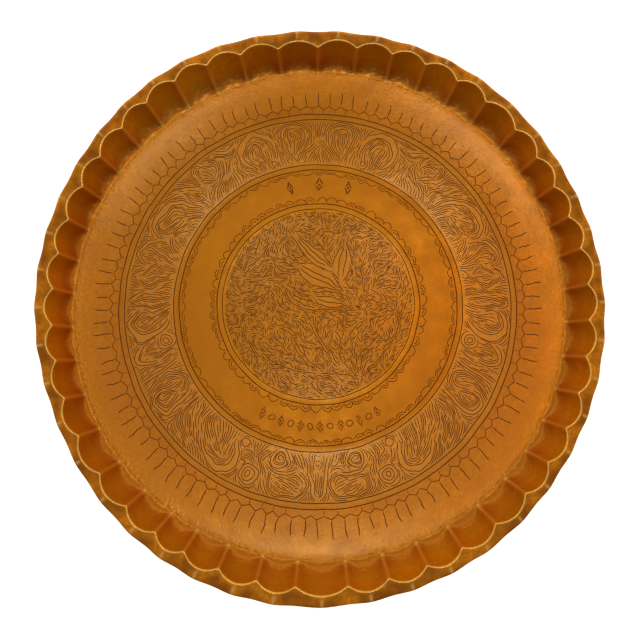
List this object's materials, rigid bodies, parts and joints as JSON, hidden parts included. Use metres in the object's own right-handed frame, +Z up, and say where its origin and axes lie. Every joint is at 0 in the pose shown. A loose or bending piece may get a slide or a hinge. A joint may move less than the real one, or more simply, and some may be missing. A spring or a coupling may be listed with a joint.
{
  "type": "round tray",
  "caption": "Round shallow brass tray: flat chased floor, dished margin, wall of hollow arch-topped flutes and a narrow pleated flange.",
  "frame": {"origin": "under the centre of the floor, on the surface that the tray stands on", "axes": "+Z up, out of the tray; +Y towards the far side, at the top of the chased design, opposite the widest flute"},
  "size_m": [0.3197, 0.3242, 0.022],
  "materials": {
    "chased_brass": "satin, aged, dark patina in the chased lines",
    "margin_brass": "satin, aged",
    "wall_brass": "satin, planished, ridges worn bright",
    "flange_brass": "satin, aged, crests and edge worn bright"
  },
  "bodies": {
    "root": {"floor": "chased_brass", "floor_rise": "margin_brass", "fluted_wall": "wall_brass", "crimped_flange": "flange_brass"}
  },
  "joints": []
}
